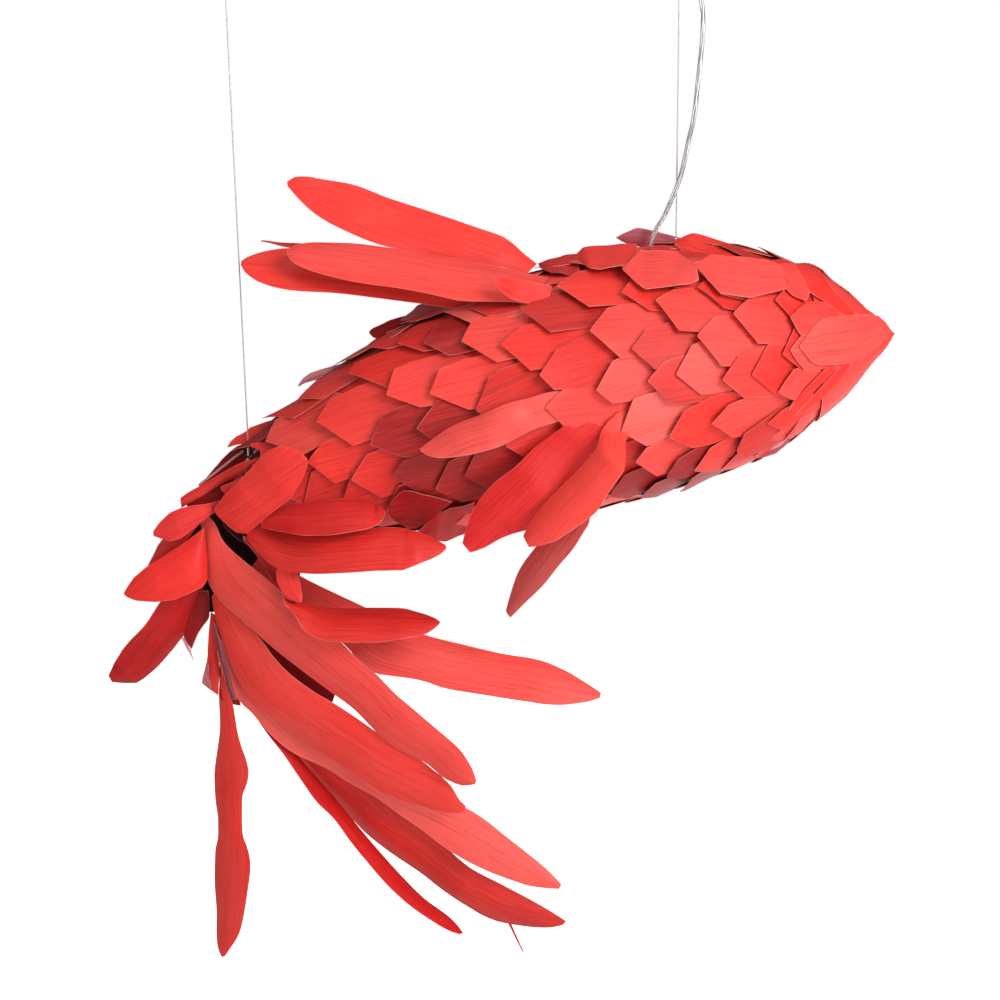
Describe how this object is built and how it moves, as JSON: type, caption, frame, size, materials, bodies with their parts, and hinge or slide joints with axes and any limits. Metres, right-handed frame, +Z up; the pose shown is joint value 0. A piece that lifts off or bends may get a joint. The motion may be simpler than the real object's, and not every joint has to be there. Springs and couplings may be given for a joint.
{
  "type": "pendant lamp",
  "caption": "Fish-shaped hanging lamp: a hollow body of overlapping wood-veneer scales with long veneer fins, hung level from two steel wires and fed by a clear flex.",
  "frame": {"origin": "middle of the flat top of the head-end ceiling rose, where it meets the ceiling", "axes": "+Z up, +X towards the fish's nose, -Y towards the side with the three near pectoral fins"},
  "size_m": [0.9561, 0.4075, 1.3031],
  "materials": {
    "veneer_red": "dyed red veneer, satin, fine lengthwise grain",
    "veneer_bright": "dyed scarlet veneer, satin, fine lengthwise grain",
    "veneer_pale": "dyed coral veneer, dye rubbed thin, fine lengthwise grain",
    "veneer_deep": "dyed deep red veneer, fine lengthwise grain",
    "steel": "drawn steel",
    "ferrule_bright": "nickel-plated crimp",
    "ceiling_white": "satin white",
    "flex_clear": "clear sheath over two tinned cores",
    "holder_black": "black phenolic",
    "cap_metal": "plated screw cap",
    "bulb_glass": "frosted glass"
  },
  "bodies": {
    "ceiling": {"head_ceiling_rose": "ceiling_white", "tail_ceiling_cup": "ceiling_white", "head_ceiling_hook": "steel", "tail_ceiling_hook": "steel", "flex_ceiling_grip": "ceiling_white"},
    "hangers": {"head_hanger_ring": "steel", "tail_hanger_ring": "steel"},
    "head_wire_set": {"head_wire": "steel", "head_wire_upper_ferrule": "ferrule_bright", "head_wire_lower_ferrule": "ferrule_bright", "power_flex": "flex_clear"},
    "tail_wire_set": {"tail_wire": "steel", "tail_wire_upper_ferrule": "ferrule_bright", "tail_wire_lower_ferrule": "ferrule_bright"},
    "fish": {"nose_wrap": "veneer_red", "scale_band_01": "veneer_red", "scale_band_02": "veneer_pale", "scale_band_03": "veneer_red", "scale_band_04": "veneer_red", "scale_band_05": "veneer_pale", "scale_band_06": "veneer_red", "scale_band_07": "veneer_red", "scale_band_08": "veneer_pale", "scale_band_09": "veneer_red", "tail_strip_03": "veneer_red", "tail_strip_07": "veneer_pale", "tail_strip_06": "veneer_red", "tail_strip_01": "veneer_bright", "tail_strip_02": "veneer_red", "tail_strip_19": "veneer_red", "tail_strip_17": "veneer_red", "tail_strip_14": "veneer_bright", "tail_strip_15": "veneer_deep", "tail_strip_12": "veneer_red", "tail_strip_08": "veneer_red", "tail_strip_09": "veneer_pale", "tail_strip_10": "veneer_deep", "tail_strip_11": "veneer_red", "dorsal_strip_01": "veneer_red", "dorsal_strip_02": "veneer_pale", "dorsal_strip_03": "veneer_red", "dorsal_strip_04": "veneer_deep", "pectoral_near_01": "veneer_pale", "pectoral_near_02": "veneer_red", "pectoral_near_03": "veneer_bright", "pectoral_near_04": "veneer_deep", "pectoral_far_01": "veneer_red", "pectoral_far_02": "veneer_red", "head_anchor_eye": "steel", "tail_anchor_eye": "steel", "spine_rod": "steel", "keel_rod": "steel", "frame_hoop_1": "steel", "frame_hoop_2": "steel", "frame_hoop_3": "steel", "holder_bracket": "steel", "lamp_holder": "holder_black", "lamp_cord_grip": "holder_black"},
    "bulb": {"lamp_cap": "cap_metal", "lamp_bulb": "bulb_glass"}
  },
  "joints": [
    {"name": "swing_fore_aft", "type": "hinge", "parent": "ceiling", "child": "hangers", "pos_m": [0, 0, -0.0395], "axis": [1, 0, 0], "range_deg": [-8, 8]},
    {"name": "sway_lengthways", "type": "hinge", "parent": "hangers", "child": "head_wire_set", "pos_m": [0, 0, -0.05085], "axis": [0, 1, 0], "range_deg": [-6, 6]},
    {"name": "fish_stays_level", "type": "hinge", "parent": "head_wire_set", "child": "fish", "pos_m": [0, 0, -0.418], "axis": [0, 1, 0], "range_deg": [-6, 6]},
    {"name": "tail_wire_sway", "type": "hinge", "parent": "hangers", "child": "tail_wire_set", "pos_m": [-0.5364, 0, -0.05085], "axis": [0, 1, 0], "range_deg": [-3.7, 3.7]},
    {"name": "bulb_removal", "type": "slide", "parent": "fish", "child": "bulb", "axis": [0, 0, -1], "range_m": [0, 0.045]}
  ],
  "couplings": [
    {"joint": "fish_stays_level", "follows": "sway_lengthways", "ratio": -1},
    {"joint": "tail_wire_sway", "follows": "sway_lengthways", "ratio": 0.5918}
  ]
}
